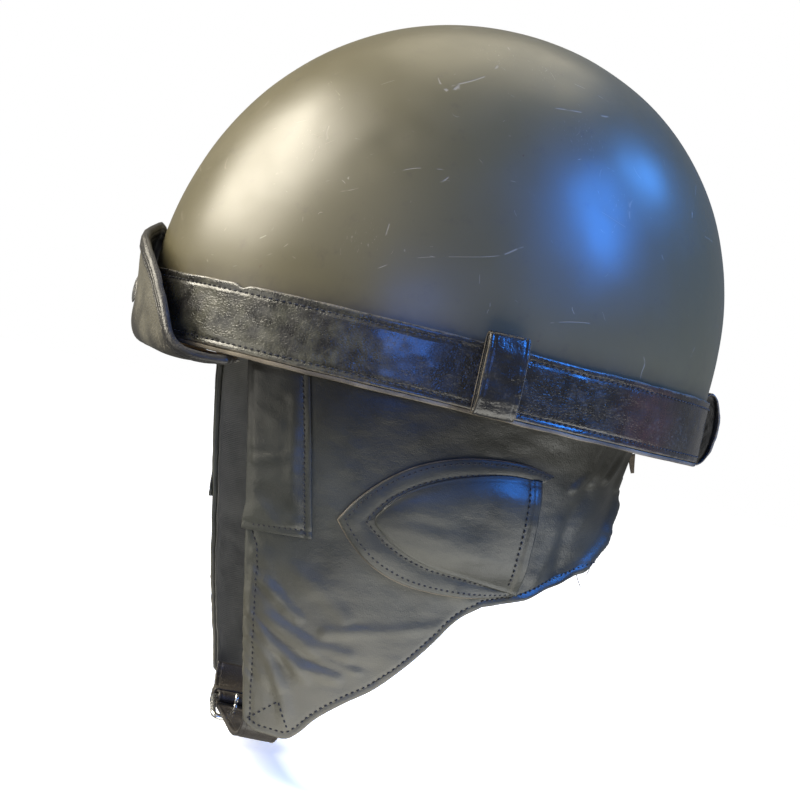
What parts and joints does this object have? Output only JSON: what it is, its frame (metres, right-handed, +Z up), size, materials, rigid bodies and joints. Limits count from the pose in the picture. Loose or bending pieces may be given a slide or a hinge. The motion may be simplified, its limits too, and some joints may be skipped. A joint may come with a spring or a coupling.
{
  "type": "open face motorcycle helmet",
  "caption": "Open face motorcycle helmet: hard domed shell with a leather band and keepers, turned-up leather peak, leather neck curtain with cheek flaps, buckled chin strap and head harness",
  "frame": {"origin": "middle of the head opening, in the plane of the shell's lower edge", "axes": "+Z up through the crown, -Y towards the peak and the wearer's face, +X towards the wearer's left"},
  "size_m": [0.2442, 0.2884, 0.3501],
  "materials": {
    "shell_paint": "satin",
    "black_leather": "glossy",
    "grey_leather": "semi-matte",
    "strap_leather": "semi-matte",
    "tan_leather": "matte",
    "lining_cloth": "matte",
    "cork": "matte",
    "felt": "matte",
    "lace": "matte",
    "stud_metal": "satin",
    "buckle_steel": "polished"
  },
  "bodies": {
    "root": {"shell": "shell_paint", "rim_binding": "tan_leather", "shell_band": "black_leather", "left_keeper": "black_leather", "right_keeper": "black_leather", "rear_keeper": "black_leather", "peak_root": "black_leather", "stud_post": "stud_metal", "cork_band": "cork", "liner_hoop": "tan_leather", "sweatband": "tan_leather", "felt_pads": "felt", "liner_tongues": "tan_leather", "crown_lace": "lace", "crown_pad": "felt", "left_curtain": "grey_leather", "right_curtain": "grey_leather", "neck_seam": "grey_leather", "left_front_panel": "grey_leather", "right_front_panel": "grey_leather", "left_ear_border": "grey_leather", "right_ear_border": "grey_leather", "left_ear_cover": "grey_leather", "right_ear_cover": "grey_leather", "left_lining": "lining_cloth", "right_lining": "lining_cloth"},
    "peak": {"peak": "black_leather", "peak_binding": "black_leather", "stud_cap": "stud_metal"},
    "left_cheek": {"left_cheek_flap": "grey_leather", "left_flap_lining": "lining_cloth", "strap_anchor": "strap_leather"},
    "right_cheek": {"right_cheek_flap": "grey_leather", "right_flap_lining": "lining_cloth"},
    "chin_strap": {"chin_strap": "strap_leather", "buckle_chape": "strap_leather", "buckle_frame": "buckle_steel", "strap_keeper": "strap_leather"},
    "prong": {"buckle_prong": "buckle_steel"}
  },
  "joints": [
    {"name": "peak_fold", "type": "hinge", "parent": "root", "child": "peak", "pos_m": [0, -0.1205, -0.0055], "axis": [1, 0, 0], "range_deg": [0, 90]},
    {"name": "left_cheek_fold", "type": "hinge", "parent": "root", "child": "left_cheek", "pos_m": [0.0846, -0.015, -0.0884], "axis": [-0.1476, -0.989, 0], "range_deg": [0, 75]},
    {"name": "right_cheek_fold", "type": "hinge", "parent": "root", "child": "right_cheek", "pos_m": [-0.0846, -0.015, -0.0884], "axis": [-0.1476, 0.989, 0], "range_deg": [0, 75]},
    {"name": "chin_strap_swing", "type": "hinge", "parent": "left_cheek", "child": "chin_strap", "pos_m": [0.0541, -0.046, -0.16], "axis": [0, -1, 0], "range_deg": [0, 75]},
    {"name": "prong_swing", "type": "hinge", "parent": "chin_strap", "child": "prong", "pos_m": [-0.028, -0.046, -0.1638], "axis": [0, 1, 0], "range_deg": [0, 45]}
  ]
}
